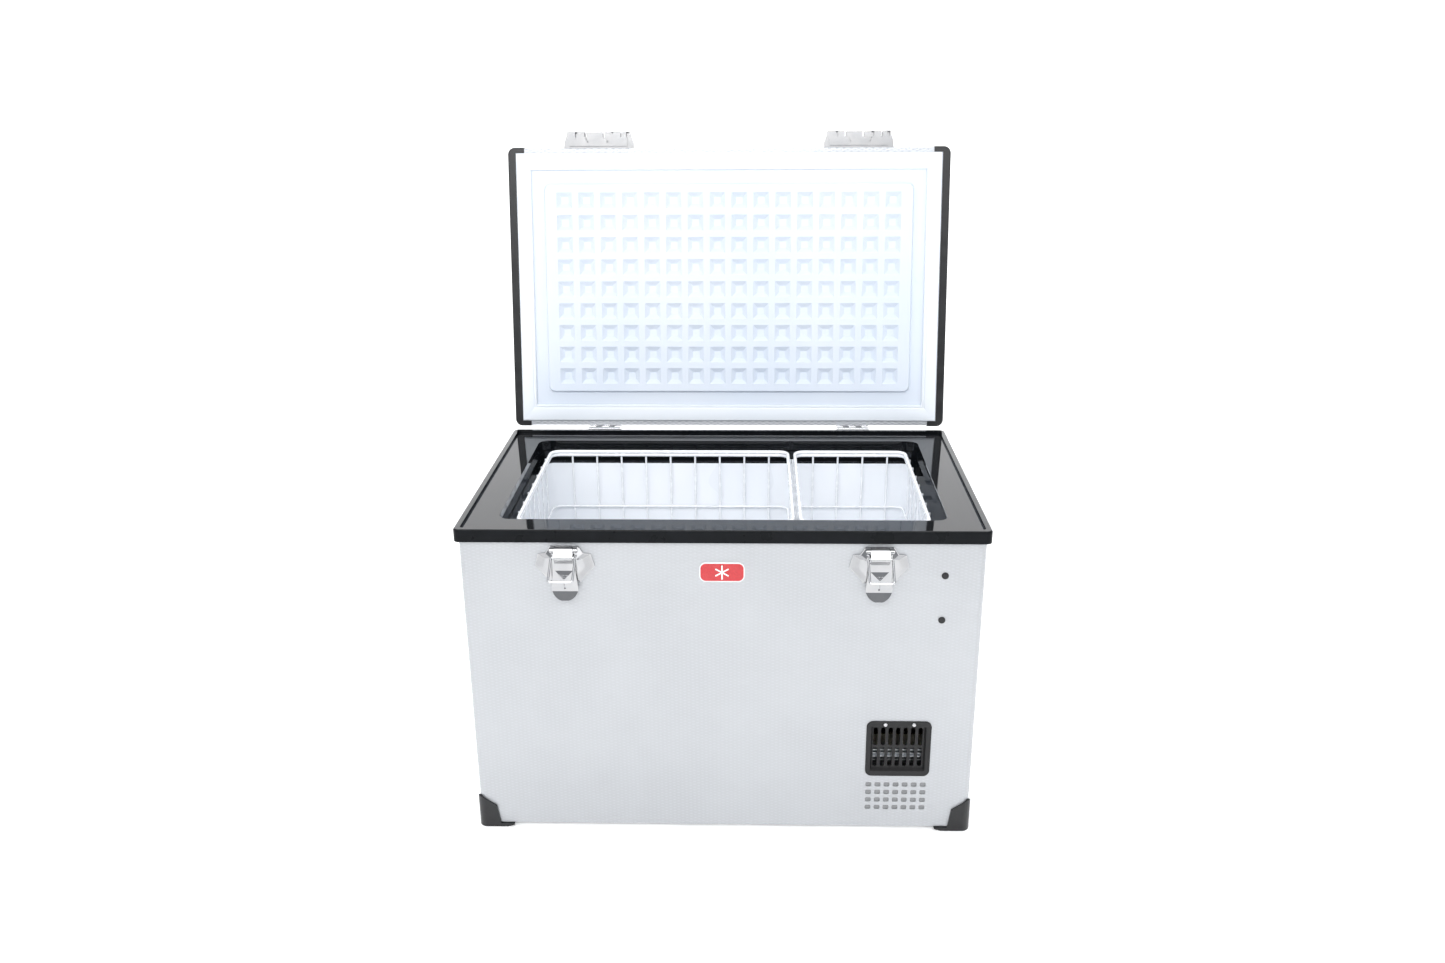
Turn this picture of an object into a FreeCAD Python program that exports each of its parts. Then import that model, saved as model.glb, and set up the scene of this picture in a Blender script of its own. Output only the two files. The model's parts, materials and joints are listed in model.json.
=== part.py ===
"""Portable compressor cooler fridge: steel chest, hinged lid, two toggle latches, two baskets.

Millimetres, +Z up, front facing -Y.  The lid is stored open: its pieces are drawn closed and then
turned back about the hinge axis.  Everything is drawn about the chest's middle, with heights from a
datum just under the floor, and then moved forwards and down, so that the origin is on the floor under
the middle of the whole object, open lid included.
"""
import FreeCAD, Part
import math
import os

V = FreeCAD.Vector

# ---- driving dimensions ----------------------------------------------------------------------
DATUM = 0.5                            # height of the floor in the drawing
ORIGIN_Y = 47.25                       # the origin is this far behind the chest's middle
FIT = 0.05                             # radial running clearance

# chest and rim
WIDTH, DEPTH = 700.0, 443.0            # top rim and lid, outside
RIM_TOP = 457.0                        # highest edge of the rim
RIM_SKIRT = 17.5                       # visible height of the rim's side
RIM_LIP, RIM_STEP = 8.0, 4.0           # raised edge: its width and height
RIM_PLANE = RIM_TOP - RIM_STEP
THROAT_X, THROAT_Y = 300.0, 172.0      # half sizes of the rim's opening
THROAT_WALL, THROAT_CORNER = 3.0, 16.0
THROAT_LEDGE = 4.0                     # the throat narrows by this at LEDGE_Z
LEDGE_Z = 437.0
INSET = 5.0                            # how far the chest stands back from the rim
SKIN = 1.0                             # sheet steel
SKIN_LOW, SKIN_TOP = 6.5, 449.5
BODY_X, BODY_Y = WIDTH / 2 - INSET, DEPTH / 2 - INSET
BODY_CORNER = 9.0
FRONT = -BODY_Y
PAN_HIGH = 12.0                        # upstand of the base pan
FAR = 600.0                            # larger than anything, for cutting blocks

# cold space, with its step over the compressor bay
LINER_X, LINER_Y, LINER_TOP = 288.0, 160.0, 419.5
LINER_FLOOR, HUMP_X, HUMP_TOP = 77.0, 101.5, 238.0
LINER_WALL, LINER_CORNER = 2.0, 12.0
BAY_X, BAY_TOP = 118.0, 205.0

# feet: outline of the corner piece as (distance in from the chest's side, height)
FOOT_OUT, FOOT_TOP, FOOT_STRIP = 3.0, 50.5, 48.0
FOOT_SLOPE = ((3.0, FOOT_TOP + 1), (5.0, FOOT_TOP - 2), (24.5, 34.5), (29.0, 5.5), (FOOT_STRIP, 5.5),
              (FOOT_STRIP - 0.5, 3.5), (35.0, DATUM - 1))
FOOT_IN = 24.0                         # middle of the foot's sole, in from the chest's sides

# front details
PLUGS = ((292.0, 393.0), (291.0, 329.0))
HOLE_COLUMNS, HOLE_ROWS = 7, 4         # perforations below the grille
HOLE_FIRST, HOLE_PITCH, HOLE_HALF = (203.2, 37.3), (12.6, 12.4), (4.1, 3.5)
GRILLE = (197.5, 286.5, 89.0, 175.5)   # left, right, bottom, top
DISH = (204.0, 279.5, 97.5, 167.0)     # its sunken slot field
DISH_DEEP, FLANGE = 4.5, 2.0
SLOT_X = [210.6 + 10.25 * i for i in range(7)]
SLOT_ROWS = ((102.7, 132.3), (136.0, 164.0))
GRILLE_SCREWS = ((223.0, 171.0), (262.0, 171.0))
BADGE_X, BADGE_Z, BADGE_HALF = 0.5, 397.0, (30.0, 14.0)

# rear air slots: centres, (low, high) of each row, and half width
REAR_SLOTS, REAR_ROWS = [170.0 + 13 * i for i in range(11)], ((60.0, 110.0), (122.0, 172.0))
AIR_SLOT = 3.0

# compressor bay
CONDENSER_X, CONDENSER_Y, CONDENSER_Z = (192.0, 292.0), (-205.0, -172.0), (22.0, 130.0)
FIN, FIN_PITCH, FIN_COUNT, TUBE = 0.8, 5.2, 21, 3.2
SCREEN_Y, SCREEN_TOP = FRONT + SKIN + 0.6, 84.0    # insect screen behind the perforations
FAN_X, FAN_Y, FAN_Z = 242.0, -160.0, 73.0
FAN_HALF, FAN_BORE, BLADES = 46.0, 41.5, 7
PUMP_X, PUMP_Y, PUMP_R = 238.0, -30.0, 56.0
PIPE, PIPE_BEND = 3.0, 10.0

# controls and inlets on the right side
PANEL = (-190.0, 347.0, -90.0, 399.0)  # y low, z low, y high, z high
PANEL_OUT = 3.0
BUTTON_Y, BUTTON_Z, BUTTON_R = (-172.0, -154.0, -136.0), 359.0, 6.0
INLET_Y, DC_Z, AC_Z = 150.0, 70.0, 118.0
DC_COLLAR, DC_BODY, DC_SOCKET = 18.0, 14.0, 10.5
AC_FLANGE, AC_BODY, AC_SOCKET = (17.0, 21.0), (10.9, 14.9), (7.5, 11.5)

# carry handles
HANDLE_Z, HANDLE_DROP, HANDLE_ROD, HANDLE_GRIP = 335.0, 50.0, 4.0, 9.5
HANDLE_X = BODY_X + 11.0
LUG_Y, LUG_HALF = 60.0, 4.0
HANDLE_SCREWS = [(y, z) for y in (-71.0, 71.0) for z in (HANDLE_Z - 9, HANDLE_Z + 9)]

# lid
LID_THICK, LID_GAP, LID_OPEN = 46.0, 0.5, 100.3
LID_BOTTOM = RIM_TOP + LID_GAP
LID_TOP = LID_BOTTOM + LID_THICK
TRIM = 1.5                             # wall of the plastic side trims
TRIM_BAND, TRIM_WRAP = 12.0, 26.0      # how far they cover the top, and the front and back
SHELL_X, SHELL_Y = WIDTH / 2 - 2.5, DEPTH / 2 - TRIM
SHELL_LOW, SHELL_HIGH, SHELL_CORNER = LID_BOTTOM + TRIM, LID_TOP - TRIM, 9.0
GASKET_OUT, GASKET_IN = (337.0, 212.5), (313.0, 186.0)
PLATFORM = (294.0, 166.0)              # raised field of the inner panel
PLATFORM_LOW = LID_BOTTOM - 8.0
PIT_PITCH, PIT_HALF, PIT_FLOOR, PIT_DEEP = 34.75, 12.5, 5.5, 6.5
PIT_COLUMNS, PIT_ROWS = 16, 9

# hinges
HINGE_Y, HINGE_Z = DEPTH / 2 + 7.0, RIM_TOP - 4.5
HINGE_X, HINGE_WIDE = 202.5, 52.0
KNUCKLE, PIN = 6.0, 2.4

# toggle latches
LATCH_X = 205.5
LEVER_OUT, LEVER_Z = 8.5, 430.0        # lever axis: out from the front panel, and height
LEVER_HALF, HUB_HALF, THUMB_Z = 17.6, 12.0, 377.5
EYE_OUT, EYE_Z = 14.0, 422.0           # bail pivot on the lever
BAIL_LONG, BAIL_TILT, BAIL_WIRE, BAIL_HALF = 38.0, 58.0, 1.6, 15.8
BAR_Z = EYE_Z + BAIL_LONG              # the bail's bar when it is hooked up
LEDGE, LEDGE_TOP = 2.0, BAR_Z - BAIL_WIRE - 0.4    # the keeper's ledge under the bar
NOTCH = BAIL_WIRE + 0.5                # half width of the ledge's notches
KEEPER_OUT, KEEPER_HIGH = 25.5, 24.0
KEEPER_GAPS, KEEPER_SLOTS = (-21.0, 7.5, 36.0), (-35.0, -6.5, 21.5, 46.0)

# baskets: left, right, floor, wires along the front, and how far their middle is off the basket's
BASKETS = {"basket_large": (-284.0, 100.2, 80.0, 9, 1.5), "basket_small": (100.8, 284.0, 243.0, 4, 1.5)}
BASKET_Y, BASKET_TOP = 156.0, 441.5
RAIL, WIRE, RING = 2.5, 1.5, 2.3       # radii of the top rails, the wires and the lower rings
WIRE_PITCH, SIDE_PITCH = 39.0, 38.0
RAILS = ((BASKET_TOP, RAIL), (BASKET_TOP - 5.2, RAIL), (349.0, RING))

# pieces that the fasteners pass through
SCREWED = {
    "screws": ["front_panel", "rear_panel", "side_panel_left", "side_panel_right", "insulation_foam",
               "vent_grille", "latch_base_left", "latch_base_right", "handle_plate_left",
               "handle_plate_right", "hinge_body_leaf_left", "hinge_body_leaf_right"],
    "lid_screws": ["lid_shell", "lid_foam", "keeper_left", "keeper_right", "hinge_lid_leaf_left",
                   "hinge_lid_leaf_right"],
}

parts = {}


# ---- small shape helpers ---------------------------------------------------------------------
def box(x0, y0, z0, x1, y1, z1):
    return Part.makeBox(x1 - x0, y1 - y0, z1 - z0, V(x0, y0, z0))


def outline(points, out=(0, 0, 1), high=1.0):
    """Solid of a flat polygon pushed along the direction out."""
    wire = Part.makePolygon([V(*p) for p in points + points[:1]])
    return Part.Face(wire).extrude(V(*out).normalize() * high)


def slab(half_x, half_y, z0, z1, radius, middle=(0.0, 0.0)):
    """Upright block with rounded vertical edges, centred on middle."""
    cx, cy = middle
    block = box(cx - half_x, cy - half_y, z0, cx + half_x, cy + half_y, z1)
    upright = [e for e in block.Edges if abs(e.tangentAt(e.FirstParameter).z) > 0.9]
    return block.makeFillet(radius, upright)


def tile(x0, z0, x1, z1, y0, y1, radius):
    """Plate facing the front, with rounded corners."""
    block = box(x0, y0, z0, x1, y1, z1)
    across = [e for e in block.Edges if abs(e.tangentAt(e.FirstParameter).y) > 0.9]
    return block.makeFillet(radius, across)


def side_tile(y0, z0, y1, z1, x0, x1, radius):
    """Plate facing sideways, with rounded corners."""
    block = box(x0, y0, z0, x1, y1, z1)
    across = [e for e in block.Edges if abs(e.tangentAt(e.FirstParameter).x) > 0.9]
    return block.makeFillet(radius, across)


def side_block(half, y, z, x0, x1, radius):
    """Plate facing sideways, centred on y, z, with half sizes (along y, along z)."""
    return side_tile(y - half[0], z - half[1], y + half[0], z + half[1], x0, x1, radius)


def rod(start, end, radius):
    start, end = V(*start), V(*end)
    return Part.makeCylinder(radius, (end - start).Length, start, end - start)


def bent_rod(points, radius, bend):
    """Round wire along straight runs joined by arcs of radius bend."""
    points = [V(*p) for p in points]
    edges, start = [], points[0]
    for before, corner, after in zip(points, points[1:], points[2:]):
        arriving, leaving = (corner - before).normalize(), (after - corner).normalize()
        turn = arriving.getAngle(leaving)
        reach = bend * math.tan(turn / 2)
        first, last = corner - arriving * reach, corner + leaving * reach
        inward = (leaving - arriving).normalize()
        middle = corner + inward * (bend / math.cos(turn / 2) - bend)
        edges.append(Part.LineSegment(start, first).toShape())
        edges.append(Part.Arc(first, middle, last).toShape())
        start = last
    edges.append(Part.LineSegment(start, points[-1]).toShape())
    profile = Part.Wire(Part.makeCircle(radius, points[0], points[1] - points[0]))
    return Part.Wire(edges).makePipeShell([profile], True, False)


def frustum(half0, z0, half1, z1, middle=(0.0, 0.0)):
    """Square or oblong block that narrows from half0 at z0 to half1 at z1."""
    wires = []
    for (hx, hy), z in ((half0, z0), (half1, z1)):
        cx, cy = middle
        corners = [V(cx - hx, cy - hy, z), V(cx + hx, cy - hy, z), V(cx + hx, cy + hy, z),
                   V(cx - hx, cy + hy, z)]
        wires.append(Part.makePolygon(corners + corners[:1]))
    return Part.makeLoft(wires, True, True)


def mirror_x(shape):
    return shape.mirror(V(0, 0, 0), V(1, 0, 0))


def moved(shape, x=0.0, y=0.0, z=0.0):
    copy = shape.copy()
    copy.translate(V(x, y, z))
    return copy


def union(shapes):
    first, rest = shapes[0], shapes[1:]
    return first.fuse(rest).removeSplitter() if rest else first


def opened(shape):
    """Turn a lid piece from closed to open."""
    copy = shape.copy()
    copy.rotate(V(0, HINGE_Y, HINGE_Z), V(1, 0, 0), -LID_OPEN)
    return copy


def add(name, shape):
    parts[name] = moved(shape, y=-ORIGIN_Y, z=-DATUM)


def add_lid(name, shape):
    add(name, opened(shape))


# ---- the chest's skin ------------------------------------------------------------------------
def skin_ring():
    outer = slab(BODY_X, BODY_Y, SKIN_LOW, SKIN_TOP, BODY_CORNER)
    inner = slab(BODY_X - SKIN, BODY_Y - SKIN, SKIN_LOW, SKIN_TOP, BODY_CORNER - SKIN)
    return outer.cut(inner)


def rear_slots():
    half = AIR_SLOT
    return [tile(x - half, low, x + half, high, 0, BODY_Y + 9, half * 0.98)
            for x in REAR_SLOTS for low, high in REAR_ROWS]


def perforations():
    half_x, half_z = HOLE_HALF
    cutters = []
    for column in range(HOLE_COLUMNS):
        for row in range(HOLE_ROWS):
            x = HOLE_FIRST[0] + HOLE_PITCH[0] * column
            z = HOLE_FIRST[1] + HOLE_PITCH[1] * row
            cutters.append(tile(x - half_x, z - half_z, x + half_x, z + half_z, FRONT - 5, FRONT + 5, 2.0))
    return cutters


def front_panel(ring):
    edge = BODY_Y - BODY_CORNER
    panel = ring.common(box(-FAR, -FAR, 0, FAR, -edge, FAR))
    left, right, low, high = GRILLE
    cutters = perforations()
    cutters.append(tile(left + 2, low + 2, right - 2, high - 2, FRONT - 5, FRONT + 5, 7.0))
    cutters += [rod((x, FRONT - 5, z), (x, FRONT + 5, z), 3.6) for x, z in PLUGS]
    add("front_panel", panel.cut(cutters))


def rear_panel(ring):
    panel = ring.common(box(-FAR, BODY_Y - BODY_CORNER, 0, FAR, FAR, FAR))
    add("rear_panel", panel.cut(rear_slots()))


def side_panels(ring):
    edge = BODY_Y - BODY_CORNER - 0.2
    left = ring.common(box(-FAR, -edge, 0, -LINER_X, edge, FAR))
    add("side_panel_left", left)
    y0, z0, y1, z1 = PANEL
    openings = [side_tile(y0 + 2, z0 + 2, y1 - 2, z1 - 2, 0, BODY_X + 9, 6.0),
                rod((LINER_X, INLET_Y, DC_Z), (BODY_X + 9, INLET_Y, DC_Z), DC_BODY),
                side_block((AC_BODY[0] + 0.1, AC_BODY[1] + 0.1), INLET_Y, AC_Z, LINER_X, BODY_X + 9, 3.0)]
    add("side_panel_right", mirror_x(left).cut(openings))


def base_pan():
    high = SKIN_LOW + PAN_HIGH
    pan = slab(BODY_X - SKIN, BODY_Y - SKIN, SKIN_LOW, high, BODY_CORNER - SKIN)
    hollow = slab(BODY_X - 2 * SKIN, BODY_Y - 2 * SKIN, SKIN_LOW + SKIN, high, BODY_CORNER - 2 * SKIN)
    vents = [slab(AIR_SLOT, 30.0, 0, high, AIR_SLOT * 0.98, (160 + 14 * i, 0.0)) for i in range(11)]
    windows = [box(170, -FAR, SKIN_LOW + SKIN, 320, FAR, FAR), box(300, -130, SKIN_LOW + SKIN, FAR, 130, FAR)]
    add("base_pan", pan.cut([hollow] + vents).cut(windows))


# ---- feet ------------------------------------------------------------------------------------
def foot_profile(edge, along):
    """Outline seen square-on, pushed right through: along is the axis it is pushed along."""
    outer = edge + FOOT_OUT + 6
    flat = [(outer, DATUM - 1), (outer, FOOT_TOP + 1)] + [(edge - inward, z) for inward, z in FOOT_SLOPE]
    if along == "x":
        return outline([(-FAR, u, z) for u, z in flat], (1, 0, 0), 2 * FAR)
    return outline([(u, -FAR, z) for u, z in flat], (0, 1, 0), 2 * FAR)


def corner_feet():
    outer = slab(BODY_X + FOOT_OUT, BODY_Y + FOOT_OUT, DATUM, FOOT_TOP, BODY_CORNER + FOOT_OUT)
    edges = [e for e in outer.Edges if e.BoundBox.ZMin > FOOT_TOP - 0.1]
    outer = outer.makeFillet(2.0, edges)
    body = slab(BODY_X, BODY_Y, SKIN_LOW, FOOT_TOP + 9, BODY_CORNER)
    foot = outer.cut(body).common(foot_profile(BODY_X, "y")).common(foot_profile(BODY_Y, "x"))
    sole = (BODY_X - FOOT_IN, BODY_Y - FOOT_IN)
    tread = slab(18, 18, DATUM - 1, DATUM + 1.2, 6.0, sole)
    foot = foot.cut(tread.cut(slab(14, 14, DATUM - 2, DATUM + 2, 4.0, sole)))
    for end, flip_y in (("rear", False), ("front", True)):
        piece = foot.mirror(V(0, 0, 0), V(0, 1, 0)) if flip_y else foot
        add("corner_foot_%s_right" % end, piece)
        add("corner_foot_%s_left" % end, mirror_x(piece))


# ---- rim, liner and foam ---------------------------------------------------------------------
def inside_rim(margin, z0, z1, radius):
    """Block that keeps margin from the rim's outside."""
    return slab(WIDTH / 2 - margin, DEPTH / 2 - margin, z0, z1, radius)


def throat_well():
    """Outside of the throat's wall under the rim."""
    grow = THROAT_WALL
    return slab(THROAT_X + grow, THROAT_Y + grow, LINER_TOP, SKIN_TOP + 1, THROAT_CORNER + grow)


def top_rim():
    low = RIM_TOP - RIM_SKIRT
    block = inside_rim(0, low, RIM_TOP, 8.0)
    block = block.makeFillet(2.5, [e for e in block.Edges if e.BoundBox.ZMin > RIM_TOP - 0.1])
    recess = inside_rim(RIM_LIP, RIM_PLANE, RIM_TOP + 1, 4.0)
    groove = inside_rim(RIM_LIP, RIM_PLANE - 1.2, RIM_TOP, 4.0)
    groove = groove.cut(inside_rim(RIM_LIP + 1.5, low, RIM_TOP + 1, 3.0))
    under = slab(BODY_X + 0.5, BODY_Y + 0.5, low - 1, SKIN_TOP, BODY_CORNER + 0.5)
    block = block.cut([recess, groove, under]).fuse(throat_well())
    narrow = THROAT_LEDGE
    steps = [slab(THROAT_X, THROAT_Y, LEDGE_Z, RIM_TOP + 9, THROAT_CORNER),
             slab(THROAT_X - narrow, THROAT_Y - narrow, LINER_TOP + narrow, LEDGE_Z + 1, THROAT_CORNER - 2),
             slab(LINER_X, LINER_Y, LINER_TOP - 9, LINER_TOP + 9, LINER_CORNER)]
    add("top_rim", block.cut(steps).removeSplitter())


def throat_caps():
    """Screw caps on the ledge in the two back corners."""
    x, y, z = THROAT_X - 12, THROAT_Y - 12, LINER_TOP + THROAT_LEDGE
    add("throat_caps", Part.makeCompound([Part.makeCone(4.0, 3.2, 2.2, V(s * x, y, z)) for s in (-1, 1)]))


def liner_block(grow, top):
    """The cold space with its step over the compressor, made larger all round by grow."""
    half_x, half_y = LINER_X + grow, LINER_Y + grow
    radius = LINER_CORNER + grow
    full = slab(half_x, half_y, HUMP_TOP - grow, top, radius)
    deep = slab(half_x, half_y, LINER_FLOOR - grow, HUMP_TOP + 5, radius)
    step = box(HUMP_X + grow, -FAR, 0, FAR, FAR, HUMP_TOP - grow)
    return full.fuse(deep.cut(step)).removeSplitter()


def inner_liner():
    add("inner_liner", liner_block(LINER_WALL, LINER_TOP).cut(liner_block(0, LINER_TOP + 9)))


def insulation_foam():
    gap = SKIN + 0.01
    low = SKIN_LOW + PAN_HIGH + 0.1
    foam = slab(BODY_X - gap, BODY_Y - gap, low, SKIN_TOP - 0.1, BODY_CORNER - gap)
    bay = box(BAY_X, -FAR, 0, FAR, FAR, BAY_TOP)
    pockets = [rod((x, FRONT - 5, z), (x, FRONT + 12, z), 5.0) for x, z in PLUGS]
    y0, z0, y1, z1 = PANEL
    pockets.append(box(BODY_X - 30, y0, z0 - 2, FAR, y1, z1 + 1))
    add("insulation_foam", foam.cut([liner_block(LINER_WALL, LINER_TOP), throat_well(), bay] + pockets))


# ---- front details ---------------------------------------------------------------------------
def pyramid(edges, shrink, y0, y1):
    """Block over the rectangle edges (left, right, bottom, top) that shrinks all round from y0 to y1."""
    wires = []
    for less, y in ((0.0, y0), (shrink, y1)):
        left, right, low, high = edges[0] + less, edges[1] - less, edges[2] + less, edges[3] - less
        ring = [V(left, y, low), V(right, y, low), V(right, y, high), V(left, y, high)]
        wires.append(Part.makePolygon(ring + ring[:1]))
    return Part.makeLoft(wires, True, True)


def vent_grille():
    left, right, low, high = GRILLE
    flange = tile(left, low, right, high, FRONT - FLANGE, FRONT, 9.0)
    rim_edges = [e for e in flange.Edges if e.BoundBox.YMax < FRONT - FLANGE + 0.1]
    flange = flange.makeFillet(1.2, rim_edges)
    wall = 1.5
    wide = (DISH[0] - wall, DISH[1] + wall, DISH[2] - wall, DISH[3] + wall)
    shell = pyramid(wide, 2.0, FRONT - 0.5, FRONT + DISH_DEEP)
    hollow = pyramid(DISH, 2.5, FRONT - FLANGE, FRONT + DISH_DEEP - FLANGE)
    slots = [tile(x - 3, z0, x + 3, z1, FRONT, FRONT + 20, 2.95)
             for x in SLOT_X for z0, z1 in SLOT_ROWS]
    add("vent_grille", flange.fuse(shell).cut([hollow] + slots))


def screw(point, out, head=2.7, shank=1.5, long=6.0):
    """Pan-head screw whose head sits on point and whose shank goes the other way from out."""
    out = V(*out)
    base = V(*point)
    dome = Part.makeCylinder(head, 1.6, base, out)
    top = [e for e in dome.Edges if e.Closed and (e.CenterOfMass - base).dot(out) > 1.0]
    dome = dome.makeFillet(1.1, top)
    recess = Part.makeCylinder(0.9, 1.2, base + out * 0.8, out)
    return dome.cut(recess).fuse(Part.makeCylinder(shank, long, base, out * -1))


def hole_plugs():
    plugs = []
    for x, z in PLUGS:
        cap = Part.makeCylinder(4.7, 1.6, V(x, FRONT, z), V(0, -1, 0))
        cap = cap.makeFillet(1.0, [e for e in cap.Edges if e.BoundBox.YMax < FRONT - 1.5])
        plugs.append(cap.fuse(rod((x, FRONT, z), (x, FRONT + 8, z), 3.5)))
    add("hole_plugs", Part.makeCompound(plugs))


def badge():
    """Rounded plate with a plain raised snowflake."""
    half_x, half_z = BADGE_HALF
    x, z = BADGE_X, BADGE_Z
    plate = tile(x - half_x, z - half_z, x + half_x, z + half_z, FRONT - 1.6, FRONT, 9.0)
    plate = plate.makeFillet(0.8, [e for e in plate.Edges if e.BoundBox.YMax < FRONT - 1.5])
    arms = []
    for turn in range(3):
        arm = box(x - 0.9, FRONT - 2.2, z - 10, x + 0.9, FRONT - 1.0, z + 10)
        arm.rotate(V(x, 0, z), V(0, 1, 0), 60 * turn)
        arms.append(arm)
    add("badge", plate.fuse(arms))


# ---- compressor bay --------------------------------------------------------------------------
def condenser():
    """Finned coil with end plates, which carry a fine screen in front of its lower part."""
    (x0, x1), (y0, y1), (z0, z1) = CONDENSER_X, CONDENSER_Y, CONDENSER_Z
    plates = [box(x0, y0, z0, x0 + 2, y1, z1), box(x1 - 2, y0, z0, x1, y1, z1)]
    screen = [box(x0, SCREEN_Y, z0, x1, SCREEN_Y + 0.8, SCREEN_TOP),
              box(x0, SCREEN_Y, z0, x0 + 2, y0 + 1, SCREEN_TOP),
              box(x1 - 2, SCREEN_Y, z0, x1, y0 + 1, SCREEN_TOP)]
    heights = [z0 + 2 + FIN_PITCH * i for i in range(FIN_COUNT)]
    fins = [box(x0 + 2, y0, z, x1 - 2, y1, z + FIN) for z in heights]
    tubes = [rod((x0, y, z), (x1, y, z), TUBE) for y in (y0 + 8, y1 - 9) for z in (38, 64, 90, 116)]
    add("condenser", union(plates + screen + fins + tubes))


def fan_shroud():
    x, y, z = FAN_X, FAN_Y, FAN_Z
    half, bore = FAN_HALF, FAN_BORE
    frame = tile(x - half, z - half, x + half, z + half, y - 8, y + 12, 6.0)
    ring = frame.cut(rod((x, y - 9, z), (x, y + 20, z), bore))
    hub = rod((x, y + 8, z), (x, y + 12, z), 16.0)
    struts = [box(x - bore - 1, y + 9, z - 2, x + bore + 1, y + 11.5, z + 2),
              box(x - 2, y + 9, z - bore - 1, x + 2, y + 11.5, z + bore + 1)]
    axle = rod((x, y, z), (x, y + 9, z), 1.5)
    add("fan_shroud", ring.fuse([hub, axle] + struts).removeSplitter())


def fan_blades():
    x, y, z = FAN_X, FAN_Y, FAN_Z
    cup = rod((x, y - 6, z), (x, y + 6, z), 14.0)
    cup = cup.cut(rod((x, y - 8, z), (x, y + 10, z), 1.5 + FIT))
    blades = []
    for turn in range(BLADES):
        blade = box(x + 13, y - 0.7, z - 11, x + FAN_BORE - 2.5, y + 0.7, z + 11)
        blade.rotate(V(x, y, z), V(1, 0, 0), 28)
        blade.rotate(V(x, y, z), V(0, 1, 0), 360 / BLADES * turn)
        blades.append(blade)
    add("fan_blades", cup.fuse(blades).removeSplitter())


def compressor():
    cx, cy = PUMP_X, PUMP_Y
    shell = Part.makeCylinder(PUMP_R, 118, V(cx, cy, 42), V(0, 0, 1))
    shell = shell.makeFillet(26, [e for e in shell.Edges if e.Closed])
    band = Part.makeCylinder(PUMP_R + 2, 5, V(cx, cy, 98), V(0, 0, 1))
    plate = slab(70, 52, 30, 33, 8.0, (cx, cy))
    legs = [box(cx - 40, cy + s * 30 - 3, 32.5, cx + 40, cy + s * 30 + 3, 60) for s in (-1, 1)]
    sites = [(cx + sx * 58, cy + sy * 42) for sx in (-1, 1) for sy in (-1, 1)]
    holes = [rod((x, y, 20), (x, y, 50), 4.0) for x, y in sites]
    add("compressor", shell.fuse([band] + legs).fuse(plate).cut(holes))
    mounts = []
    for x, y in sites:
        lower = Part.makeCylinder(9, 20, V(x, y, SKIN_LOW + SKIN), V(0, 0, 1))
        upper = Part.makeCylinder(7, 5, V(x, y, 33), V(0, 0, 1))
        stem = Part.makeCylinder(4.0, 24, V(x, y, 12), V(0, 0, 1))
        mounts.append(lower.fuse([upper, stem]))
    add("compressor_mounts", Part.makeCompound(mounts))


def control_box():
    add("control_box", slab(45, 30, 60, 150, 6.0, (262, 160)).fuse(box(230, 122, 70, 295, 131, 140)))


def refrigerant_lines():
    """Dryer with its two pipes, and the suction pipe from the compressor."""
    suction = [(PUMP_X - PUMP_R + 1, -60, 150), (165, -60, 180), (140, -60, 180), (140, 60, 180),
               (140, 120, 60)]
    feed = [(150, -40, 60), (150, -20, 60), (150, 10, 80), (150, 40, 80)]
    liquid = [(150, -120, 60), (150, -190, 60), (188, -190, 60)]
    dryer = rod((150, -120, 60), (150, -40, 60), 9.0)
    line = union([dryer, bent_rod(feed, PIPE, PIPE_BEND), bent_rod(liquid, PIPE, PIPE_BEND)])
    add("refrigerant_lines", Part.makeCompound([line, bent_rod(suction, PIPE, PIPE_BEND)]))


# ---- control panel and inlets on the right side ------------------------------------------------
def control_panel():
    y0, z0, y1, z1 = PANEL
    front = BODY_X + PANEL_OUT
    bezel = side_tile(y0, z0, y1, z1, BODY_X, front, 7.0)
    bezel = bezel.makeFillet(1.2, [e for e in bezel.Edges if e.BoundBox.XMin > front - 0.1])
    back = side_tile(y0 + 3, z0 + 3, y1 - 3, z1 - 3, BODY_X - 14, BODY_X + 0.5, 4.0)
    wells = [rod((BODY_X - 3, y, BUTTON_Z), (FAR, y, BUTTON_Z), BUTTON_R + 0.3) for y in BUTTON_Y]
    window = side_tile(y0 + 12, z0 + 23, y1 - 12, z1 - 7, BODY_X + 1.0, FAR, 3.0)
    add("control_bezel", bezel.fuse(back).cut(wells + [window]))
    glass = side_tile(y0 + 12.2, z0 + 23.2, y1 - 12.2, z1 - 7.2, BODY_X + 1.0, front - 0.4, 2.8)
    add("control_display", glass)
    for name, y in zip(("button_power", "button_down", "button_up"), BUTTON_Y):
        key = rod((BODY_X - 1.5, y, BUTTON_Z), (front + 0.8, y, BUTTON_Z), BUTTON_R)
        add(name, key.makeFillet(0.7, [e for e in key.Edges if e.BoundBox.XMin > front + 0.7]))


def across_x(y, z, x0, x1, radius):
    """Round rod running sideways at y, z."""
    return rod((x0, y, z), (x1, y, z), radius)


def dc_inlet():
    x, y, z = BODY_X, INLET_Y, DC_Z
    shell = across_x(y, z, x, x + 2.5, DC_COLLAR).fuse(across_x(y, z, x - 22, x, DC_BODY))
    shell = shell.cut(across_x(y, z, x - 18, x + 9, DC_SOCKET))
    pins = [across_x(y + dy, z, x - 19, x - 4, 1.6) for dy in (-4.5, 4.5)]
    add("dc_inlet", shell.fuse(pins))


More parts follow.
